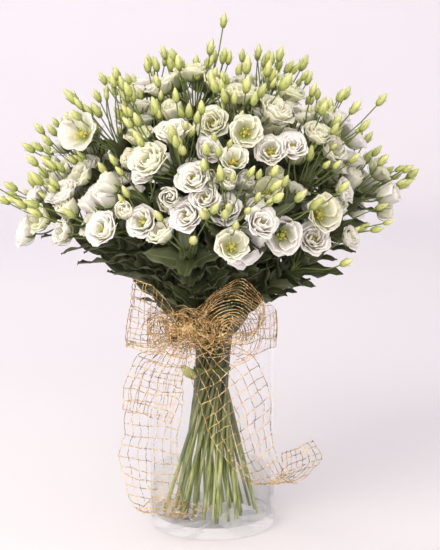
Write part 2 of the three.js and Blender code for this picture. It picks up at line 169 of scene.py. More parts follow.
class Stem:
    """Where one stem runs. A whole number is a stem that has its own solid."""

    def __init__(self, number, sunk=0.0, radius=STEM_RADIUS):
        self.number = number
        self.radius = radius
        share = (number + 0.5) / STEM_COUNT
        turn = BUNCH_TURN + number * GOLDEN_ANGLE
        off = STEM_SPACING * sqrt(number + 0.5)
        waist = Vector((off * cos(turn), off * sin(turn), 0))
        lean = Vector((-waist.y * SPIRAL_LEAN, waist.x * SPIRAL_LEAN, 1))
        tilt = acos(1 - share * (1 - cos(CROWN_HALF_ANGLE)))
        heading = turn + CROWN_TURN
        self.sideways = Vector((-sin(heading), cos(heading), 0))
        self.axis = Vector((sin(tilt) * cos(heading), sin(tilt) * sin(heading), cos(tilt)))
        self.outward = self.sideways.cross(self.axis)
        self.low = number >= FIRST_LOW_STEM and number % 2 == 1
        reach = lerp(TOP_REACH, SIDE_REACH, share) - (LOW_TIER * share if self.low else 0) - sunk
        binding = UP * BINDING_HEIGHT
        centre = binding + UP * CROWN_CENTRE
        waist = waist + binding
        self.fork = centre + self.axis * (reach - FORK_BELOW)
        self.cluster = centre + self.axis * reach
        slant = hypot(lean.x, lean.y) / lean.length
        fall = BINDING_HEIGHT - BASE_THICKNESS - CLEARANCE - STEM_RADIUS * slant
        self.foot = waist - lean * fall
        leave, arrive = waist + lean * SWEEP_IN, self.fork - self.axis * SWEEP_OUT
        self.upper = interpolate_bezier(waist, leave, arrive, self.fork, STEM_POINTS)
        self.turn = vary(number, 1)

    def across(self, steps):
        """The way to a place in the cluster, across the stem's axis."""
        angle = tau * (self.turn + steps / OUTER_BLOOMS)
        return self.outward * cos(angle) + self.sideways * sin(angle)

    def side(self, angle, heading):
        """A unit vector square to the stem."""
        first = square_to(heading, self.sideways)
        return first * cos(angle) + heading.cross(first) * sin(angle)


# -------- materials
class Field:
    """A number that changes over a surface. Sums of fields add Math nodes."""

    def __init__(self, finish, socket):
        self.finish = finish
        self.socket = socket

    def math(self, operation, first, second):
        node = self.finish.node("ShaderNodeMath", {"operation": operation}, {0: first, 1: second})
        return Field(self.finish, node.outputs[0])

    def __add__(self, other):
        return self.math("ADD", self, other)

    __radd__ = __add__

    def __sub__(self, other):
        return self.math("SUBTRACT", self, other)

    def __rsub__(self, other):
        return self.math("SUBTRACT", other, self)

    def __mul__(self, other):
        return self.math("MULTIPLY", self, other)

    __rmul__ = __mul__

    def __pow__(self, other):
        return self.math("POWER", self, other)


class Finish:
    """A material, made from a Principled shader and the nodes that feed it."""

    def __init__(self, name, constants):
        self.material = bpy.data.materials.new(name)
        self.material.use_nodes = True
        self.tree = self.material.node_tree
        self.shader = self.tree.nodes["Principled BSDF"]
        for socket, value in constants.items():
            self.shader.inputs[socket].default_value = value
        self.place = self.node("ShaderNodeTexCoord").outputs["Object"]

    def node(self, kind, settings=None, inputs=None):
        made = self.tree.nodes.new(kind)
        settings = dict(settings or {})
        stops = settings.pop("stops", None)
        for name, value in settings.items():
            setattr(made, name, value)
        for k, (position, colour) in enumerate(stops or []):
            elements = made.color_ramp.elements
            stop = elements[k] if k < 2 else elements.new(position)
            stop.position = position
            stop.color = colour
        for socket, value in (inputs or {}).items():
            self.feed(made.inputs[socket], value)
        return made

    def feed(self, socket, value):
        value = value.socket if isinstance(value, Field) else value
        if isinstance(value, bpy.types.NodeSocket):
            self.tree.links.new(value, socket)
        else:
            socket.default_value = value

    def attribute(self, name):
        settings = {"attribute_type": "GEOMETRY", "attribute_name": name}
        return Field(self, self.node("ShaderNodeAttribute", settings).outputs["Fac"])

    def height(self):
        """The height over the floor, in metres."""
        return Field(self, self.node("ShaderNodeSeparateXYZ", {}, {0: self.place}).outputs["Z"])

    def grain(self, scale, detail=3.0, stretch=(1, 1, 1)):
        """Noise from 0 to 1, finer with a larger scale."""
        mapping = self.node("ShaderNodeMapping", {}, {"Vector": self.place, "Scale": stretch})
        settings = {"Vector": mapping.outputs[0], "Scale": scale, "Detail": detail}
        return Field(self, self.node("ShaderNodeTexNoise", {}, settings).outputs["Fac"])

    def step(self, field, low, high):
        """Runs from 0 to 1 while the field runs from low to high."""
        settings = {"Value": field, "From Min": low, "From Max": high}
        return Field(self, self.node("ShaderNodeMapRange", {"clamp": True}, settings).outputs[0])

    def mix(self, share, first, second):
        """A colour between two colours."""
        settings = {"data_type": "RGBA", "clamp_factor": True}
        return self.node("ShaderNodeMix", settings, {0: share, 6: first, 7: second}).outputs[2]

    def mottled(self, field, span, first, second):
        """A colour that goes from the first to the second over a span of the field."""
        return self.mix(self.step(field, *span), first, second)

    def ramp(self, field, *stops):
        return self.node("ShaderNodeValToRGB", {"stops": stops}, {"Fac": field}).outputs["Color"]

    def colour(self, value):
        self.feed(self.shader.inputs["Base Color"], value)

    def roughness(self, value):
        self.feed(self.shader.inputs["Roughness"], value)

    def relief(self, height, distance, strength=1.0):
        inputs = {"Height": height, "Distance": distance, "Strength": strength}
        bump = self.node("ShaderNodeBump", {}, inputs)
        self.feed(self.shader.inputs["Normal"], bump.outputs["Normal"])


def rgb(red, green, blue):
    return (red, green, blue, 1.0)


def petal_finish():
    constants = {
        "Specular IOR Level": 0.2,
        "Subsurface Weight": 0.75,
        "Subsurface Radius": (0.013, 0.013, 0.011),
        "Subsurface Scale": 1.0,
    }
    finish = Finish("white_petal", constants)
    along = finish.attribute("along")
    tone = finish.attribute("tone")
    cloud = finish.grain(55, 2.0)
    fresh = finish.mottled(cloud, (0.35, 0.65), rgb(0.95, 0.90, 0.865), rgb(0.93, 0.865, 0.805))
    cream = finish.mottled(cloud, (0.3, 0.7), rgb(0.83, 0.81, 0.47), rgb(0.75, 0.75, 0.36))
    body = finish.mix(tone, fresh, cream)
    # The petal's own green-yellow base, with painted shade that darkens it deep in the throat
    green_and_shaded_throat = finish.mottled(along, (0.0, 0.4), rgb(0.26, 0.32, 0.05), rgb(0.62, 0.68, 0.22))
    finish.colour(finish.mix(finish.step(along, 0.2, 0.72), green_and_shaded_throat, body))
    finish.roughness(0.5 + 0.15 * cloud)
    finish.relief(finish.grain(420, 2.0, (1, 1, 0.3)), 0.0006, 0.5)
    return finish.material


def heart_finish():
    finish = Finish("flower_heart", {})
    cloud = finish.grain(500)
    finish.colour(finish.ramp(cloud, (0.35, rgb(0.20, 0.23, 0.04)), (0.7, rgb(0.64, 0.49, 0.08))))
    finish.roughness(0.75 + 0.1 * cloud)
    finish.relief(cloud, 0.001)
    return finish.material


def bud_finish():
    finish = Finish("bud_skin", {"Specular IOR Level": 0.3})
    along = finish.attribute("along")
    tone = finish.attribute("tone")
    cloud = finish.grain(160, 2.0)
    skin = finish.ramp(
        along + 0.25 * (cloud - 0.5),
        (0.0, rgb(0.13, 0.17, 0.035)),
        (0.25, rgb(0.34, 0.37, 0.10)),
        (0.6, rgb(0.56, 0.56, 0.22)),
        (1.0, rgb(0.68, 0.66, 0.34)),
    )
    streak = finish.step(finish.grain(420, 2.0), 0.42, 0.62)
    finish.colour(finish.mix(0.25 * streak + 0.35 * tone, skin, rgb(0.26, 0.32, 0.07)))
    finish.roughness(0.45 + 0.15 * cloud)
    finish.relief(finish.grain(500, 2.0, (1, 1, 0.2)), 0.0005, 0.5)
    return finish.material


def leaf_finish():
    finish = Finish("leaf_skin", {"Specular IOR Level": 0.35})
    across = finish.attribute("across")
    tone = finish.attribute("tone")
    cloud = finish.grain(45, 4.0)
    blade = finish.mottled(cloud, (0.3, 0.7), rgb(0.027, 0.034, 0.013), rgb(0.062, 0.072, 0.028))
    blade = finish.mix(0.35 * tone, blade, rgb(0.12, 0.14, 0.062))
    rib = 1 - finish.step(across, 0.02, 0.12)
    finish.colour(finish.mix(0.35 * rib, blade, rgb(0.17, 0.23, 0.10)))
    finish.roughness(0.42 + 0.2 * cloud)
    finish.relief(finish.grain(300, 3.0) - 0.8 * rib, 0.0006, 0.6)
    return finish.material


def stem_finish():
    finish = Finish("stem_skin", {"Specular IOR Level": 0.4})
    # Painted shade: from 0.10 m up to 0.235 m the stems go over to a much darker green, the shade
    # that the crown casts on them
    painted_shade_upward = finish.step(finish.height(), 0.10, 0.235)
    cloud = finish.grain(220, 3.0, (1, 1, 0.12))
    each = finish.grain(70, 1.0, (1, 1, 0.12))
    patch = 0.4 * cloud + 0.6 * each
    low = finish.mottled(patch, (0.42, 0.66), rgb(0.11, 0.145, 0.035), rgb(0.46, 0.50, 0.19))
    high = finish.mottled(cloud, (0.3, 0.7), rgb(0.032, 0.040, 0.014), rgb(0.085, 0.095, 0.030))
    finish.colour(finish.mix(painted_shade_upward, low, high))
    finish.roughness(0.4 + 0.2 * cloud)
    finish.relief(cloud, 0.0004, 0.6)
    return finish.material


def stalk_finish():
    finish = Finish("stalk_skin", {"Specular IOR Level": 0.35})
    cloud = finish.grain(200, 3.0)
    finish.colour(finish.mix(cloud, rgb(0.075, 0.105, 0.028), rgb(0.17, 0.21, 0.06)))
    finish.roughness(0.45 + 0.15 * cloud)
    return finish.material


def wire_finish():
    finish = Finish("crinkled_gold_wire", {"Metallic": 0.85, "Specular IOR Level": 0.6})
    # Painted light: the patches from dark brown to bright gold are painted shade and reflection on
    # the wire, and the pale flecks are painted glints
    patch = finish.grain(70, 2.0)
    glint_noise = finish.grain(300, 2.0)
    metal = finish.ramp(
        patch,
        (0.34, rgb(0.12, 0.06, 0.018)),
        (0.5, rgb(0.48, 0.28, 0.085)),
        (0.66, rgb(0.80, 0.57, 0.25)),
    )
    finish.colour(finish.mix(0.8 * finish.step(glint_noise, 0.52, 0.64), metal, rgb(1.0, 0.86, 0.55)))
    finish.roughness(0.26 + 0.25 * glint_noise)
    finish.relief(glint_noise, 0.0003)
    return finish.material


def clear_finish(name, tint, ior, ripple, straight, slanted, foot):
    """Its wall is all but unseen straight on and shows at a slant. Its foot is solid."""
    constants = {"Transmission Weight": 1.0, "IOR": ior, "Roughness": 0.0, "Base Color": tint}
    finish = Finish(name, constants)
    weight = finish.node("ShaderNodeLayerWeight", {}, {"Blend": 0.5})
    slant = Field(finish, weight.outputs["Facing"])
    height = finish.height()
    solid = finish.step(height, 0.0, 0.002) * (1 - finish.step(height, foot - 0.003, foot))
    shown = straight + (slanted - straight) * slant**3
    finish.feed(finish.shader.inputs["Alpha"], shown + solid * (0.8 - shown))
    finish.relief(finish.grain(9, 1.0), 0.001, ripple)
    return finish.material


def cord_finish():
    finish = Finish("green_twine", {"Specular IOR Level": 0.2})
    fibre = finish.grain(900, 3.0)
    finish.colour(finish.mix(fibre, rgb(0.06, 0.08, 0.025), rgb(0.14, 0.17, 0.06)))
    finish.roughness(0.8 + 0.1 * fibre)
    finish.relief(fibre, 0.0006)
    return finish.material


def floor_finish():
    """Pale paper, with painted light: the floor glows under the vase, standing in for the light
    that the clear foot gathers on it.
    """
    finish = Finish("pale_floor", {"Specular IOR Level": 0.1, "Emission Strength": 1.0})
    cloud = finish.grain(1.5, 2.0)
    finish.colour(finish.mix(cloud, rgb(0.825, 0.795, 0.84), rgb(0.845, 0.815, 0.86)))
    finish.roughness(0.9 + 0.05 * cloud)
    length = finish.node("ShaderNodeVectorMath", {"operation": "LENGTH"}, {0: finish.place})
    off = Field(finish, length.outputs["Value"])
    # Painted light: an emission inside the vase's radius lights the floor under the foot
    under = 1 - finish.step(off, VASE_RADIUS - WALL - 0.006, VASE_RADIUS)
    glow = finish.mix(under, rgb(0, 0, 0), rgb(0.24, 0.225, 0.225))
    finish.feed(finish.shader.inputs["Emission Color"], glow)
    return finish.material


# -------- making pieces
def put(name, data):
    """A new object in the scene."""
    made = bpy.data.objects.new(name, data)
    bpy.context.scene.collection.objects.link(made)
    return made


def piece(name, mesh, slot, nodes, *materials):
    """Puts a mesh into the scene as a piece that stands for these solids."""
    mesh.name = name
    made = put(name, mesh)
    for material in materials:
        mesh.materials.append(material)
    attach(made, "root")
    if nodes:
        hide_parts(*nodes)
    return made


def thicken(made, thickness):
    """Gives a sheet its thickness, on both sides of it."""
    wall = made.modifiers.new("thickness", "SOLIDIFY")
    wall.thickness = thickness
    wall.offset = 0.0
    wall.use_rim = True


def smooth(bm):
    for face in bm.faces:
        face.smooth = True


def paint(verts, part):
    """Gives the faces at these corners the material of a part."""
    for face in {face for vert in verts for face in vert.link_faces}:
        face.material_index = part


def mesh_of(bm):
    mesh = bpy.data.meshes.new("made")
    bm.to_mesh(mesh)
    bm.free()
    return mesh


def turned(bm, outline, steps):
    """Turns an outline of radii and heights about the upright axis."""
    profile = [bm.verts.new((radius, 0, height)) for radius, height in outline]
    edges = [bm.edges.new(pair) for pair in zip(profile, profile[1:])]
    bmesh.ops.spin(
        bm, geom=profile + edges, cent=(0, 0, 0), axis=(0, 0, 1), dvec=(0, 0, 0),
        angle=tau, steps=steps, use_merge=True,
    )
    bmesh.ops.remove_doubles(bm, verts=bm.verts, dist=1e-5)
    bmesh.ops.recalc_face_normals(bm, faces=bm.faces)


def drawn(lines, rings=1):
    """Round lines through points, each with its radius, as one mesh."""
    curve = bpy.data.curves.new("lines", "CURVE")
    curve.dimensions = "3D"
    curve.bevel_depth = 1.0
    curve.bevel_resolution = rings
    curve.use_fill_caps = True
    for line in lines:
        spline = curve.splines.new("POLY")
        spline.points.add(len(line) - 1)
        for point, (place, radius) in zip(spline.points, line):
            point.co = (*place, 1)
            point.radius = radius
    holder = put("lines", curve)
    solid = holder.evaluated_get(bpy.context.evaluated_depsgraph_get())
    mesh = bpy.data.meshes.new_from_object(solid)
    bpy.data.objects.remove(holder)
    bpy.data.curves.remove(curve)
    mesh.polygons.foreach_set("use_smooth", [True] * len(mesh.polygons))
    return mesh


def tapered(points, first, last):
    """A line's points with radii that run from the first to the last."""
    count = len(points) - 1
    return [(point, lerp(first, last, k / count)) for k, point in enumerate(points)]


def seat(base, facing, reference, size, turn=0.0):
    """Where a template goes: its foot at the base, its top along the facing."""
    side = square_to(facing, reference)
    axes = Matrix((side, facing.cross(side), facing)).transposed().to_4x4()
    return Matrix.Translation(base) @ axes @ Matrix.Rotation(turn, 4, "Z") @ Matrix.Scale(size, 4)


def add_copy(bm, template, matrix, tone):
    """Adds a copy of a template to a bunch of them, with its own tone."""
    first = len(bm.verts)
    bm.from_mesh(template)
    bm.verts.ensure_lookup_table()
    fresh = bm.verts[first:]
    bmesh.ops.transform(bm, matrix=matrix, verts=fresh)
    tones = bm.verts.layers.float["tone"]
    for vert in fresh:
        vert[tones] = tone


def toned():
    """An empty mesh whose corners carry how far along, across and how dark they are."""
    bm = bmesh.new()
    for name in ("along", "across", "tone"):
        bm.verts.layers.float.new(name)
    return bm


# -------- blooms
class Whorl:
    """One ring of petals: its profile is a bend of radii and heights, in bloom radii."""

    def __init__(self, count, half_angle, profile, ruffle, overlap=0.09, swirl=0.0, pointed=False):
        self.count = count
        self.half_angle = half_angle
        self.profile = [Vector((radius, 0, height)) for radius, height in profile]
        self.ruffle = ruffle
        self.overlap = overlap
        self.swirl = swirl
        self.pointed = pointed
        self.columns = 2 if pointed else 6
        self.rows = 4 if pointed else 6

    def width(self, along):
        if self.pointed:
            return self.half_angle * (1 - along) ** 0.6
        return self.half_angle * (0.34 + 0.66 * min(1.0, 1.5 * along) ** 0.8)

    def point(self, across, along, waves, phase, lean):
        length = along * (1 - (0 if self.pointed else 0.17) * abs(across) ** 3)
        a, b, c, d = self.profile
        rest = 1 - length
        place = a * rest**3 + b * 3 * rest**2 * length + c * 3 * rest * length**2 + d * length**3
        wave = across * pi * waves + phase
        rim = self.ruffle * along**3
        radius = place.x + self.overlap * across * along + rim * sin(wave) + lean * along
        height = place.z + 0.8 * rim * cos(1.3 * wave) - 0.5 * lean * along
        angle = across * self.width(along) + self.swirl * along
        return Vector((radius * cos(angle), radius * sin(angle), height))


SEPALS = Whorl(
    5, 0.20, [(0.07, -0.03), (0.66, -0.06), (0.80, 0.30), (0.88, 0.62)], 0.0, 0.0, pointed=True
)
GUARD_PETALS = Whorl(5, 0.86, [(0.06, 0.0), (0.74, 0.02), (0.72, 0.74), (1.06, 0.84)], 0.075)
SECOND_PETALS = Whorl(5, 0.84, [(0.05, 0.03), (0.62, 0.06), (0.62, 0.76), (0.82, 1.0)], 0.07)
THIRD_PETALS = Whorl(5, 0.88, [(0.05, 0.05), (0.50, 0.1), (0.50, 0.76), (0.56, 1.06)], 0.06)
HEART_PETALS = Whorl(
    4, 1.05, [(0.04, 0.08), (0.34, 0.18), (0.38, 0.76), (0.30, 1.02)], 0.045, 0.12, 0.3
)
WRAPPED_OUTER = Whorl(
    5, 0.95, [(0.06, 0.0), (0.66, 0.02), (0.62, 0.9), (0.58, 1.35)], 0.05, 0.10, 0.12
)
WRAPPED_INNER = Whorl(
    5, 1.0, [(0.05, 0.04), (0.50, 0.1), (0.46, 0.9), (0.34, 1.40)], 0.045, 0.10, 0.1
)
WRAPPED_HEART = Whorl(
    3, 1.2, [(0.04, 0.06), (0.30, 0.2), (0.30, 0.9), (0.12, 1.36)], 0.03, 0.1, 0.15
)
CUP_OUTER = Whorl(5, 0.84, [(0.06, 0.0), (0.68, 0.0), (0.70, 0.80), (1.02, 1.0)], 0.075)
CUP_INNER = Whorl(5, 0.82, [(0.05, 0.03), (0.56, 0.04), (0.60, 0.72), (0.82, 1.02)], 0.065)
SINGLE_PETALS = Whorl(6, 0.74, [(0.06, 0.0), (0.60, 0.02), (0.60, 0.80), (1.10, 0.98)], 0.06)

OPEN = (SEPALS, GUARD_PETALS, SECOND_PETALS, THIRD_PETALS, HEART_PETALS)
LOOSE = (SEPALS, GUARD_PETALS, SECOND_PETALS, THIRD_PETALS)
WRAPPED = (SEPALS, WRAPPED_OUTER, WRAPPED_INNER, WRAPPED_HEART)
CUP = (SEPALS, CUP_OUTER, CUP_INNER)
SINGLE = (SEPALS, SINGLE_PETALS)

PETAL, HEART, GREEN = range(3)


def sheet(bm, columns, rows):
    """The corners of a flat grid, two units wide and two long."""
    return bmesh.ops.create_grid(bm, x_segments=columns, y_segments=rows, size=1.0)["verts"]


def add_petal(bm, whorl, turn, chance, part):
    grid = sheet(bm, whorl.columns, whorl.rows)
    alongs = bm.verts.layers.float["along"]
    waves = chance.uniform(1.1, 1.9)
    phase = chance.uniform(0, tau)
    lean = chance.uniform(-0.05, 0.07) if part == PETAL else 0.0
    spin = Matrix.Rotation(turn, 3, "Z")
    for vert in grid:
        across = vert.co.x
        along = (vert.co.y + 1) / 2
        vert[alongs] = along
        vert.co = spin @ whorl.point(across, along, waves, phase, lean)
    paint(grid, part)


def add_heart(bm, chance):
    """The short thick pistil and the ring of stamens round it."""
    made = bmesh.ops.create_cone(
        bm, cap_ends=True, segments=6, radius1=0.10, radius2=0.15, depth=0.42,
        matrix=Matrix.Translation((0, 0, 0.30)),
    )["verts"]
    for k in range(5):
        angle = tau * (k + chance.random() / 2) / 5
        place = Matrix.Translation((0.24 * cos(angle), 0.24 * sin(angle), 0.46))
        made += bmesh.ops.create_icosphere(bm, subdivisions=1, radius=0.075, matrix=place)["verts"]
    paint(made, HEART)


def bloom_template(whorls, seed, hearted=True):
    """A whole bloom one unit across its half, standing on its stalk's end."""
    chance = random.Random(seed)
    bm = toned()
    for level, whorl in enumerate(whorls):
        part = GREEN if whorl.pointed else PETAL
        offset = level * 2.4 + chance.uniform(-0.2, 0.2)
        for k in range(whorl.count):
            add_petal(bm, whorl, offset + tau * k / whorl.count, chance, part)
    if hearted:
        add_heart(bm, chance)
    smooth(bm)
    return mesh_of(bm)


class Bloom:
    """Where one bloom stands, how large it is and how far it has opened."""

    def __init__(self, middle, facing, away, radius, kind, tone):
        self.middle = middle
        self.base = middle - facing * CUP_DEPTH * radius
        self.facing = facing
        self.away = away
        self.radius = radius
        self.kind = kind
        self.tone = tone


def ruled_bloom(stem, j, chance):
    """A bloom of the cluster: one in its middle and the others round it."""
    away = stem.across(j + 0.2 * vary(stem.number, 50 + j))
    radius = within(BLOOM_RADIUS, stem.number, 10 + j)
    if j:
        place = within(OUTER_BLOOM_PLACE, stem.number, 60 + j)
        rise = -within(OUTER_BLOOM_DROP, stem.number, 70 + j)
        lean = OUTER_BLOOM_LEAN
    else:
        place, rise, lean = MIDDLE_BLOOM_PLACE, MIDDLE_BLOOM_RISE, MIDDLE_BLOOM_LEAN
    facing = (stem.axis + away * lean).normalized()
    middle = stem.cluster + away * place + stem.axis * rise
    kind = "wrapped" if chance.random() < WRAPPED_SHARE else "open"
    on_top = stem.number < FIRST_LOW_STEM
    cream = chance.random() < (CREAM_SHARE_TOP if on_top else CREAM_SHARE_SIDE)
    tone = chance.uniform(0.45, 0.9) if cream else chance.uniform(0.0, 0.25)
    return Bloom(middle, facing, away, radius, kind, tone)


# The blooms that show most from the front: the middle, the radius, the kind and how cream it is
FRONT_BLOOMS = [
    (Vector((0.042, -0.200, 0.476)), 0.034, "cup", 0.05),
    (Vector((0.104, -0.172, 0.483)), 0.027, "cup", 0.12),
    (Vector((-0.034, -0.226, 0.517)), 0.026, "open", 0.0),
    (Vector((-0.024, -0.240, 0.570)), 0.024, "open", 0.1),
    (Vector((0.024, -0.236, 0.566)), 0.021, "wrapped", 0.35),
    (Vector((-0.008, -0.240, 0.543)), 0.021, "open", 0.15),
    (Vector((-0.058, -0.228, 0.545)), 0.021, "wrapped", 0.3),
    (Vector((0.152, -0.140, 0.474)), 0.024, "open", 0.1),
    (Vector((0.162, -0.150, 0.512)), 0.028, "cup", 0.7),
    (Vector((-0.197, -0.110, 0.630)), 0.029, "single", 0.35),
    (Vector((0.062, -0.205, 0.515)), 0.023, "cup", 0.3),
    (Vector((0.020, -0.230, 0.525)), 0.023, "open", 0.0),
    (Vector((-0.004, -0.196, 0.609)), 0.019, "open", 0.0),
    (Vector((0.049, -0.182, 0.634)), 0.024, "cup", 0.6),
    (Vector((0.086, -0.176, 0.606)), 0.023, "open", 0.15),
    (Vector((0.002, -0.168, 0.646)), 0.025, "open", 0.55),
    (Vector((0.032, -0.206, 0.594)), 0.021, "cup", 0.4),
    (Vector((0.118, -0.166, 0.612)), 0.022, "open", 0.05),
]


def front_blooms_of(stem, stems):
    """Those of the blooms at the front whose nearest cluster is this stem's."""
    blooms = []
    for middle, radius, kind, tone in FRONT_BLOOMS:
        if min(stems, key=lambda other: (other.cluster - middle).length) is not stem:
            continue
        facing = (0.7 * (middle - stem.fork).normalized() + Vector((0, -1, 0.12))).normalized()
        blooms.append(Bloom(middle, facing, stem.sideways, radius, kind, tone))
    return blooms


def left_out(bloom):
    """True where a bloom at the front takes this one's place, or where it would hang too low."""
    if bloom.middle.z < LOWEST_BLOOM:
        return True
    return any(
        (bloom.middle - other).length < 1.1 * (bloom.radius + radius)
        for other, radius, _, _ in FRONT_BLOOMS
    )


def filling_bloom(stem, k, chance):
    """A smaller or half-open bloom in a gap of the cluster."""
    away = stem.across(0.5 * k + 0.35 + chance.uniform(-0.12, 0.12))
    radius = chance.uniform(0.018, 0.025)
    facing = (stem.axis + away * chance.uniform(0.3, 0.9)).normalized()
    place = stem.cluster + away * chance.uniform(0.030, 0.058)
    middle = place - stem.axis * chance.uniform(0.006, 0.062)
    kind = chance.choice(("wrapped", "cup", "open", "open"))
    tone = chance.uniform(0.0, 0.5) if kind == "open" else chance.uniform(0.35, 1.0)
    return Bloom(middle, facing, away, radius, kind, tone)


def placed_by_rule(stem, ruled):
    """So many ruled blooms of a stem, and its filling ones, without those that are left out."""
    chance = random.Random(BLOOM_SEED + stem.number)
    blooms = [ruled_bloom(stem, j, chance) for j in range(ruled)]
    blooms += [filling_bloom(stem, k, chance) for k in range(FILLING_BLOOMS)]
    return [bloom for bloom in blooms if not left_out(bloom)]


def blooms_of(stem, stems):
    ruled = OUTER_BLOOMS if stem.low else OUTER_BLOOMS + 1
    return front_blooms_of(stem, stems) + placed_by_rule(stem, ruled)


def blooms_between(stem):
    return placed_by_rule(stem, 0)


# -------- buds
BUD_PROFILE = [
    (0.0, 0.0), (0.13, 0.03), (0.22, 0.22), (0.235, 0.42), (0.17, 0.68), (0.08, 0.9), (0.0, 1.0)
]


def bud_template(seed):
    """A closed bud one unit long: pointed, with twisted folds, in a calyx of five thin sepals."""
    chance = random.Random(seed)
    bm = toned()
    turned(bm, BUD_PROFILE, 8)
    alongs = bm.verts.layers.float["along"]
    swell = chance.uniform(0.9, 1.12)
    for vert in bm.verts:
        height = vert.co.z
        angle = atan2(vert.co.y, vert.co.x)
        fold = 1 + 0.16 * height * sin(4 * angle)
        radius = hypot(vert.co.x, vert.co.y) * fold * swell
        twisted = angle + 1.3 * height
        vert[alongs] = height
        vert.co = (radius * cos(twisted), radius * sin(twisted), height)
    for k in range(5):
        sepal = bmesh.ops.create_cone(
            bm, cap_ends=True, segments=3, radius1=0.045, radius2=0.008, depth=0.62,
            matrix=Matrix.Translation((0, 0, 0.31)),
        )["verts"]
        turn = Matrix.Rotation(tau * k / 5 + 0.3, 3, "Z")
        for vert in sepal:
            height = vert.co.z
            vert[alongs] = 0.06
            bow = 0.07 + 0.66 * sqrt(height) * (0.62 - 0.3 * height)
            vert.co = turn @ Vector((vert.co.x + bow, vert.co.y, height))
    smooth(bm)
    return mesh_of(bm)


class Bud:
    """A bud, its stalk's way from the stem, and its size."""

    def __init__(self, root, way, neck, facing, length, tone):
        self.neck = neck
        self.facing = facing
        self.length = length
        self.tone = tone
        stalk = bent(root, way, neck, facing, 7)
        self.stalk = tapered(stalk, 0.0011, 0.0010)


def ruled_bud(stem, k, chance):
    tall = k == OUTER_BLOOMS
    away = stem.across(k + 0.6)
    number = stem.number
    rise = within(TALL_BUD_RISE, number, 27) if tall else within(BUD_RISE, number, 20 + k)
    place = (TALL_BUD_PLACE if tall else BUD_PLACE) + 0.3 * rise
    root, way = point_along(stem.upper, 0.97 - 0.035 * k)
    neck = stem.cluster + away * place + stem.axis * rise
    facing = (stem.axis + away * 0.2).normalized()
    return Bud(root, way, neck, facing, BUD_LENGTH, chance.random())


def filling_bud(stem, chance):
    """A bud of any size and height, over or between the blooms."""
    away = stem.across(chance.uniform(0, OUTER_BLOOMS))
    root, way = point_along(stem.upper, chance.uniform(0.84, 0.99))
    rise = chance.uniform(-0.012, 0.038)
    neck = stem.cluster + away * chance.uniform(0.012, 0.060) + stem.axis * rise
    facing = (stem.axis + away * chance.uniform(0.1, 0.6)).normalized()
    length = chance.triangular(0.015, 0.034, 0.021)
    return Bud(root, way, neck, facing, length, chance.random())


def buds_of(stem):
    chance = random.Random(BUD_SEED + stem.number)
    ruled = [ruled_bud(stem, k, chance) for k in range(OUTER_BLOOMS + 1 - stem.number % 2)]
    filling = FILLING_BUDS_LOW if stem.low else FILLING_BUDS
    return ruled + [filling_bud(stem, chance) for _ in range(filling)]


def buds_between(stem):
    chance = random.Random(BUD_SEED + stem.number)
    filling = BETWEEN_BUDS_TOP if stem.number < FIRST_LOW_STEM else BETWEEN_BUDS_SIDE
    return [filling_bud(stem, chance) for _ in range(filling)]


# -------- leaves
def leaf_template(seed, width, arch):
    """A blade one unit long: pointed, folded along its rib, arched over, its edges waved."""
    chance = random.Random(seed)
    bm = toned()
    grid = sheet(bm, 4, 9)
    alongs = bm.verts.layers.float["along"]
    acrosses = bm.verts.layers.float["across"]
    waves = chance.uniform(2, 3.5)
    phase = chance.uniform(0, tau)
    twist = chance.uniform(-0.25, 0.25)
    for vert in grid:
        across = vert.co.x
        along = (vert.co.y + 1) / 2
        half = width * (sin(pi * along**0.85) ** 0.8 * 0.96 + 0.04 * (1 - along)) / 2
        edge = 0.12 * width * across**2 * sin(tau * waves * along + phase + across)
        drop = -0.32 * half * abs(across)
        lift = arch * along**2 * (1 - 0.45 * along)
        angle = twist * along
        vert[alongs] = along
        vert[acrosses] = abs(across)
        side = half * across
        rise = drop + edge
        vert.co = (
            side * cos(angle) - rise * sin(angle),
            lift + side * sin(angle) + rise * cos(angle),
            along,
        )
    smooth(bm)
    return mesh_of(bm)


LEAF_SHARES = (0.22, 0.29, 0.36, 0.44, 0.53, 0.62, 0.71, 0.80, 0.88, 0.94, 0.99)
LEAF_SPREADS = (0.2, 0.25, 0.35, 0.4, 0.35, 0.5, 0.55, 0.6, 0.8, 0.9, 0.65)


def leaves_of(stem):
    """Where the leaves go: opposite pairs up the stem, each a quarter turn from the last."""
    chance = random.Random(LEAF_SEED + stem.number)
    seats = []
    first = 0 if stem.number >= FIRST_LEAFY_STEM else BARE_PAIRS
    for pair, (share, spread) in enumerate(zip(LEAF_SHARES, LEAF_SPREADS)):
        if pair < first:
            continue
        root, heading = point_along(stem.upper, share)
        for half in (0, 1):
            away = stem.side(pi * (vary(stem.number, 30) + pair / 2 + half), heading)
            along = (heading + away * (spread + chance.uniform(-0.1, 0.15))).normalized()
            length = within(LEAF_LENGTH, stem.number, 40 + 2 * pair + half)
            length *= chance.uniform(0.95, 1.2)
            seats.append((root, along, square_to(along, away), length, chance.random()))
    for half in (0, 1):  # a small pair on the stalk of the middle bloom
        away = stem.across(1.5 * half + vary(stem.number, 31))
        along = (stem.axis + away * 0.8).normalized()
        root = stem.fork.lerp(stem.cluster, 0.3)
        length = chance.uniform(0.046, 0.060)
        seats.append((root, along, square_to(along, away), length, chance.random()))
    return seats


def leaf_seat(root, along, lift, length):
    """A leaf's own axes: its length, and its upper face away from the stem."""
    across = lift.cross(along)
    axes = Matrix((across, lift, along)).transposed().to_4x4()
    return Matrix.Translation(root) @ axes @ Matrix.Scale(length, 4)


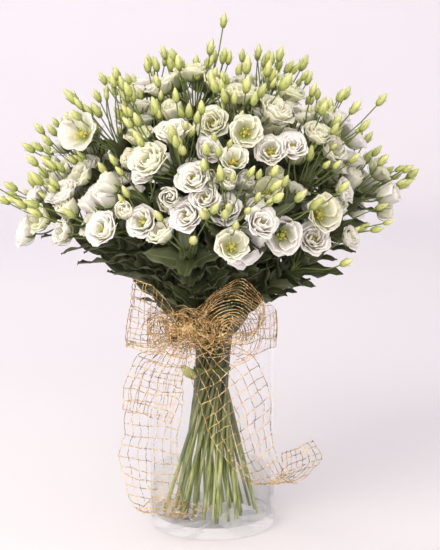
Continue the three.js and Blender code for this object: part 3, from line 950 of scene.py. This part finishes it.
# -------- the bow of wire net
# The two edges of each strip, in millimetres, as the solid has them
LEFT_LOOP = (
    [(-50, -118, 322), (-85, -136, 302), (-124, -126, 306), (-126, -112, 310), (-85, -108, 306),
     (-48, -112, 322)],
    [(-52, -124, 350), (-78, -150, 396), (-110, -158, 416), (-112, -142, 412), (-80, -132, 394),
     (-50, -118, 350)],
)
RIGHT_LOOP = (
    [(-24, -118, 338), (0, -122, 386), (38, -130, 410), (78, -128, 384), (80, -120, 346),
     (48, -116, 326), (-14, -116, 326)],
    [(-26, -128, 338), (8, -158, 376), (38, -172, 388), (66, -170, 368), (68, -162, 342),
     (42, -152, 322), (-16, -126, 324)],
)
SHORT_TAIL = (
    [(-36, -124, 312), (-42, -124, 280), (-50, -128, 235), (-62, -132, 193)],
    [(-60, -122, 322), (-108, -122, 292), (-127, -124, 255), (-139, -128, 214)],
)
LONG_TAIL = (
    [(-36, -118, 312), (-44, -110, 240), (-50, -110, 160), (-50, -115, 95), (-36, -138, 42),
     (0, -158, 75)],
    [(-60, -116, 322), (-118, -108, 250), (-136, -108, 170), (-136, -112, 105), (-112, -132, 62),
     (-90, -154, 88)],
)
RIGHT_TAIL = (
    [(-12, -118, 326), (60, -114, 290), (88, -114, 235), (88, -116, 165), (125, -132, 100),
     (160, -162, 145), (150, -170, 176)],
    [(-40, -120, 312), (-22, -118, 232), (2, -118, 168), (30, -122, 124), (62, -134, 102),
     (98, -160, 118), (104, -168, 156)],
)
# Where the long wires run across a strip, from one edge to the other
EVEN = [k / 7 for k in range(8)]
BUNCHED = [0.0, 0.03, 0.07, 0.12, 0.26, 0.42, 0.58, 0.74, 0.88, 1.0]


def smooth_line(points, share):
    """A place on the smooth line through these points, given in millimetres."""
    place = min(max(share, 0.0), 1.0) * (len(points) - 1)
    k = min(int(place), len(points) - 2)
    t = place - k
    near = [points[min(max(k + i, 0), len(points) - 1)] for i in (-1, 0, 1, 2)]
    a, b, c, d = (Vector(point) * 0.001 for point in near)
    bend = 2 * b + (c - a) * t + (2 * a - 5 * b + 4 * c - d) * t**2 + (3 * b - a - 3 * c + d) * t**3
    return bend / 2


def crinkled(place, amount=1.0):
    """The same place after the net has been pulled about, and its wire crimped."""
    pull, crimp = (noise.noise_vector(place * often) * far for often, far in (PULL, CRIMP))
    return place + (pull + crimp) * amount


def wire(places):
    return [(place, WIRE_RADIUS) for place in places]


def strip_wires(edges, side_wires):
    """The long wires of a strip of net, and the wires across it, one for each cell."""
    first, second = edges

    def on_net(u, v):
        return smooth_line(first, u).lerp(smooth_line(second, u), v)

    middle = [on_net(k / 60, 0.5) for k in range(61)]
    length = sum((b - a).length for a, b in zip(middle, middle[1:]))
    rows = round(length / NET_CELL)
    steps = rows * 4
    lines = []
    for v in side_wires:
        lines.append(wire([crinkled(on_net(k / steps, v)) for k in range(steps + 1)]))
    for row in range(1, rows + 1):
        lines.append(wire([crinkled(on_net(row / rows - 0.02, k / 24)) for k in range(25)]))
    return lines


def on_band(angle, v, swing=0.0):
    """A place on the band, v from its lower edge up. It stands off the glass on three sides."""
    off = BAND_RADIUS + BAND_BULGE * sin(pi * v) * (0.5 + 0.5 * sin(3 * angle))
    turn = angle + swing
    return Vector((off * cos(turn), off * sin(turn), lerp(BAND_BOTTOM, BAND_TOP, v)))


def band_wires():
    """The band of net round the vase: wavy rings, and the posts that join them."""
    lines = []
    for v in (0.0, 0.34, 0.68, 1.0):
        ring = []
        for k in range(BAND_STEPS + 1):
            angle = tau * k / BAND_STEPS
            ring.append(on_band(angle, v) + UP * (0.0022 * sin(9 * angle + 5 * v)))
        lines.append(wire(ring))
    for k in range(BAND_POSTS):
        angle = tau * k / BAND_POSTS
        heights = [step / 8 for step in range(9)]
        lines.append(wire([on_band(angle, v, 0.02 * sin(11 * v + k)) for v in heights]))
    return lines


def any_way(chance, spread=1):
    return Vector([chance.gauss(0, spread) for _ in range(3)])


def tangle_wires(chance):
    """The gathered middle of the bow: its wires loop over each other."""
    lines = []
    for _ in range(TANGLE_STRANDS):
        heading = any_way(chance).normalized()
        spin = any_way(chance).normalized()
        depth = chance.uniform(0.4, 1.05)
        places = []
        for _ in range(26):
            heading = Matrix.Rotation(chance.uniform(0.12, 0.34), 3, spin) @ heading
            spin = (spin + any_way(chance, 0.22)).normalized()
            places.append(crinkled(KNOT_PLACE + heading * KNOT_RADII * depth, 0.45))
        lines.append(wire(places))
    return lines


def arc_wire(middle, radius, start, sweep, tilt, flat=1.0):
    """A crinkled arc of wire that faces the viewer, turned by its tilt."""
    places = []
    for k in range(25):
        angle = radians(start + sweep * k / 24)
        reach = Vector((radius * cos(angle), 0, radius * flat * sin(angle)))
        places.append(crinkled(middle + tilt @ reach, 0.7))
    return wire(places)


def tilted(turn, nod):
    return Matrix.Rotation(turn, 3, "Z") @ Matrix.Rotation(nod, 3, "X")


def curl_wires(chance):
    """Loose curls pulled out of the gathered middle, and arcs swept out into the right loop."""
    lines = []
    for _ in range(CURLS):
        middle = Vector((
            chance.triangular(-0.090, 0.040, -0.032),
            chance.uniform(-0.138, -0.122),
            chance.triangular(0.316, 0.352, 0.334),
        ))
        tilt = tilted(chance.uniform(-0.9, 0.9), chance.uniform(-0.6, 0.6))
        radius = chance.uniform(0.010, 0.032)
        start = chance.uniform(0, 360)
        lines.append(arc_wire(middle, radius, start, chance.uniform(200, 340), tilt, 0.8))
    middle = Vector((0.030, -0.132, 0.330))
    for k in range(SWEPT_CURLS):
        tilt = tilted(0.1 * sin(5 * k), 0.16)
        lines.append(arc_wire(middle, 0.014 + 0.0042 * k, 205 - 6 * k, -250, tilt, 1.1))
    return lines


def net_bow(material):
    noise.seed_set(NET_SEED)  # unset, its seed is the clock and the crinkles differ in each run
    chance = random.Random(NET_SEED)
    lines = tangle_wires(chance) + curl_wires(chance) + band_wires()
    lines += strip_wires(LEFT_LOOP, BUNCHED)
    for edges in (RIGHT_LOOP, SHORT_TAIL, LONG_TAIL, RIGHT_TAIL):
        lines += strip_wires(edges, EVEN)
    piece("net_bow", drawn(lines, 0), "gold_wire", ["gold_net_bow"], material)


# -------- vase, water and tie
def spun(outline, steps):
    """A smooth shape turned about the upright axis."""
    bm = bmesh.new()
    turned(bm, outline, steps)
    smooth(bm)
    return mesh_of(bm)


def rounded(radius, height, bend, start, count=4):
    """A rounded corner of an outline: a quarter turn of this bend, about its centre."""
    turns = [radians(start + 90 * k / count) for k in range(count + 1)]
    return [(radius + bend * cos(turn), height + bend * sin(turn)) for turn in turns]


def glass_vase(material):
    inner = VASE_RADIUS - WALL
    lip = WALL / 2
    lip_centre = (VASE_RADIUS - lip, VASE_HEIGHT - lip)
    outline = [
        (0, 0), (0.05, 0), (VASE_RADIUS - 0.006, 0),
        *rounded(VASE_RADIUS - 0.003, 0.003, 0.003, -90),
        (VASE_RADIUS, 0.03), (VASE_RADIUS, VASE_HEIGHT - 0.02),
        *rounded(*lip_centre, lip, 0), *rounded(*lip_centre, lip, 90)[1:],
        (inner, VASE_HEIGHT - 0.02), (inner, 0.05),
        *reversed(rounded(inner - 0.004, BASE_THICKNESS + 0.004, 0.004, -90)),
        (0.05, BASE_THICKNESS), (0, BASE_THICKNESS),
    ]
    piece("glass_vase", spun(outline, ROUND_STEPS), "glass", ["vase"], material)


def still_water(material):
    """The water, which climbs a little at the glass."""
    radius = VASE_RADIUS - WALL + CLEARANCE / 3
    low = BASE_THICKNESS - CLEARANCE / 3
    outline = [
        (0, low), (radius - 0.004, low), *rounded(radius - 0.004, low + 0.004, 0.004, -90)[1:],
        (radius, WATER_SURFACE), (radius - 0.003, WATER_SURFACE - 0.001),
        (0, WATER_SURFACE - 0.001),
    ]
    piece("still_water", spun(outline, ROUND_STEPS), "water", ["water"], material)


def twine_tie(material, stems):
    """Turns of twine, pulled tight round the waist of the bunch."""
    line = []
    steps = TWINE_TURNS * TWINE_STEPS
    for k in range(steps + 1):
        angle = tau * k / TWINE_STEPS
        away = Vector((cos(angle), sin(angle), 0))
        outermost = max(stems, key=lambda stem: stem.upper[0].dot(away) + stem.radius)
        place = outermost.upper[0] + away * (outermost.radius + 0.0012)
        place.z = BINDING_HEIGHT - TWINE_RISE / 2 + TWINE_RISE * k / steps
        line.append((place, TWINE_RADIUS))
    piece("twine_tie", drawn([line]), "cord", ["binding_tie"], material)


# -------- the bunch
def stem_line(stem):
    """The whole stem, with the slight swellings of its joints."""
    lower = [stem.foot.lerp(stem.upper[0], k / FOOT_POINTS) for k in range(FOOT_POINTS)]
    places = lower + stem.upper
    count = len(places) - 1
    line = []
    for k, place in enumerate(places):
        taper = lerp(1.0, 0.62, max(0.0, k / count - 0.45) / 0.55)
        knuckle = 1.12 if k % 6 == 3 else 1.0
        line.append((place, stem.radius * taper * knuckle))
    return line


def bloom_stalks(stem, blooms):
    """Each stalk leaves the first one a little above the last."""
    lines = []
    for j, bloom in enumerate(blooms):
        start = stem.fork.lerp(blooms[0].base, 0.05 * j)
        stalk = bent(start, stem.axis, bloom.base, bloom.facing, 8)
        lines.append(tapered(stalk, 0.0016, 0.0013))
    return lines


def green_parts(stem, number, nodes, buds, finishes, templates):
    """A stem with its leaves, its buds and their stalks."""
    chance = random.Random(GREEN_SEED + stem.number)
    line = drawn([stem_line(stem)], 2)
    piece(f"stem_{number}", line, "leafy_stem", nodes, finishes["stem"])
    bm = toned()
    for *place, tone in leaves_of(stem):
        add_copy(bm, chance.choice(templates["leaf"]), leaf_seat(*place), tone)
    leaves = piece(f"leaves_{number}", mesh_of(bm), "leafy_stem", nodes, finishes["leaf"])
    thicken(leaves, LEAF_THICKNESS)
    bm = toned()
    for bud in buds:
        matrix = seat(bud.neck, bud.facing, stem.sideways, bud.length, chance.uniform(0, 6))
        add_copy(bm, chance.choice(templates["bud"]), matrix, bud.tone)
    piece(f"buds_{number}", mesh_of(bm), "leafy_stem", nodes, finishes["bud"])
    stalks = drawn([bud.stalk for bud in buds])
    piece(f"bud_stalks_{number}", stalks, "leafy_stem", nodes, finishes["stalk"])


def white_parts(stem, number, nodes, blooms, finishes, templates):
    """The blooms of a stem, and their stalks."""
    chance = random.Random(WHITE_SEED + stem.number)
    bm = toned()
    for bloom in blooms:
        matrix = seat(bloom.base, bloom.facing, bloom.away, bloom.radius, chance.uniform(0, 6))
        add_copy(bm, chance.choice(templates[bloom.kind]), matrix, bloom.tone)
    materials = [finishes["petal"], finishes["heart"], finishes["stalk"]]
    petals = piece(f"petals_{number}", mesh_of(bm), "petal", nodes, *materials)
    thicken(petals, PETAL_THICKNESS)
    stalks = drawn(bloom_stalks(stem, blooms))
    piece(f"bloom_stalks_{number}", stalks, "leafy_stem", nodes, finishes["stalk"])


def low_leaf(stems, material, template):
    """A small leaf left on below the tie, at the left."""
    places = [stem.foot.lerp(stem.upper[0], 0.92) for stem in stems]
    root = min(places, key=lambda place: place.x + 0.3 * place.y)
    along = Vector((-0.60, -0.35, 0.65)).normalized()
    lift = square_to(along, Vector((-0.3, -0.9, 0.3)))
    bm = toned()
    add_copy(bm, template, leaf_seat(root, along, lift, 0.044), 0.6)
    thicken(piece("low_leaf", mesh_of(bm), "leafy_stem", [], material), LEAF_THICKNESS)


def make_templates():
    """The blooms, buds and leaves that are copied all over the bunch, a few of each kind."""
    return {
        "open": [bloom_template(OPEN if k % 3 else LOOSE, k) for k in range(9)],
        "wrapped": [bloom_template(WRAPPED, 40 + k, False) for k in range(4)],
        "cup": [bloom_template(CUP, 50 + k) for k in range(2)],
        "single": [bloom_template(SINGLE, 60)],
        "bud": [bud_template(80 + k) for k in range(4)],
        "leaf": [
            leaf_template(90 + k, LEAF_WIDTH * (0.9 + 0.05 * k), 0.16 + 0.05 * k) for k in range(5)
        ],
    }


def make_finishes():
    return {
        "petal": petal_finish(),
        "heart": heart_finish(),
        "bud": bud_finish(),
        "leaf": leaf_finish(),
        "stem": stem_finish(),
        "stalk": stalk_finish(),
    }


# -------- studio
def studio():
    """A pale round room, open at the top, its floor sweeping up into its wall."""
    outline = [
        (0, 0), (0.5, 0), (2.0, 0), (4.4, 0), (5.0, 0.14), (5.25, 0.6), (5.3, 1.3), (5.3, 3.2)
    ]
    sweep = put("studio_sweep", spun(outline, 64))
    sweep.data.materials.append(floor_finish())
    bend = sweep.modifiers.new("bend", "SUBSURF")
    bend.levels = bend.render_levels = 2


def lamp(name, place, target, size, power, colour):
    """A square lamp that faces its target."""
    light = bpy.data.lights.new(name, "AREA")
    light.size = size
    light.energy = power
    light.color = colour
    made = put(name, light)
    made.location = place
    made.rotation_euler = (Vector(target) - Vector(place)).to_track_quat("-Z", "Y").to_euler()


def lights():
    world = bpy.data.worlds.new("studio_light")
    bpy.context.scene.world = world
    bpy.context.scene.view_settings.view_transform = "Standard"
    world.use_nodes = True
    sky = world.node_tree.nodes["Background"]
    sky.inputs["Color"].default_value = rgb(1.0, 0.97, 0.94)
    sky.inputs["Strength"].default_value = 0.66
    lamp("window", (-1.6, -2.4, 2.2), (0, 0, 0.5), 2.2, 92, (1.0, 0.95, 0.87))
    lamp("fill", (0.2, -3.2, 1.1), (0, 0, 0.55), 1.8, 58, (1.0, 0.965, 0.92))
    lamp("wall", (-1.2, 2.0, 3.4), (0, 5.0, 0.8), 2.5, 46, (1.0, 0.98, 1.0))


def camera():
    """The photograph's view, fitted to known points of the vase and the net."""
    data = bpy.data.cameras.new("camera")
    data.lens = 84.6
    data.sensor_width = 36
    data.shift_y = -0.151
    made = put("camera", data)
    made.location = (0.0126, -2.051, 0.687)
    made.rotation_euler = (radians(90 - 4.28), 0, 0)
    bpy.context.scene.camera = made


def bouquet():
    templates = make_templates()
    finishes = make_finishes()
    stems = [Stem(k) for k in range(STEM_COUNT)]
    for stem in stems:
        number = f"{stem.number + 1:02d}"
        green_parts(stem, number, [f"spray_{number}"], buds_of(stem), finishes, templates)
        blooms = blooms_of(stem, stems)
        white_parts(stem, number, [f"blooms_{number}"], blooms, finishes, templates)
    numbers = [k + 0.5 for k in range(FIRST_BETWEEN, STEM_COUNT - 1)]
    between = [Stem(number, BETWEEN_SUNK, BETWEEN_RADIUS) for number in numbers]
    for stem in between:
        number = f"between_{ceil(stem.number):02d}"
        green_parts(stem, number, [], buds_between(stem), finishes, templates)
        white_parts(stem, number, [], blooms_between(stem), finishes, templates)
    low_leaf(stems, finishes["bud"], templates["leaf"][1])
    glass = rgb(0.985, 0.99, 0.99)
    glass_vase(clear_finish("clear_glass", glass, 1.45, 0.02, 0.05, 0.60, BASE_THICKNESS))
    water = rgb(0.96, 0.975, 0.955)
    still_water(clear_finish("clear_water", water, 1.33, 0.01, 0.03, 0.16, 0.0))
    twine_tie(cord_finish(), stems + between)
    net_bow(wire_finish())


camera()
studio()
lights()
bouquet()
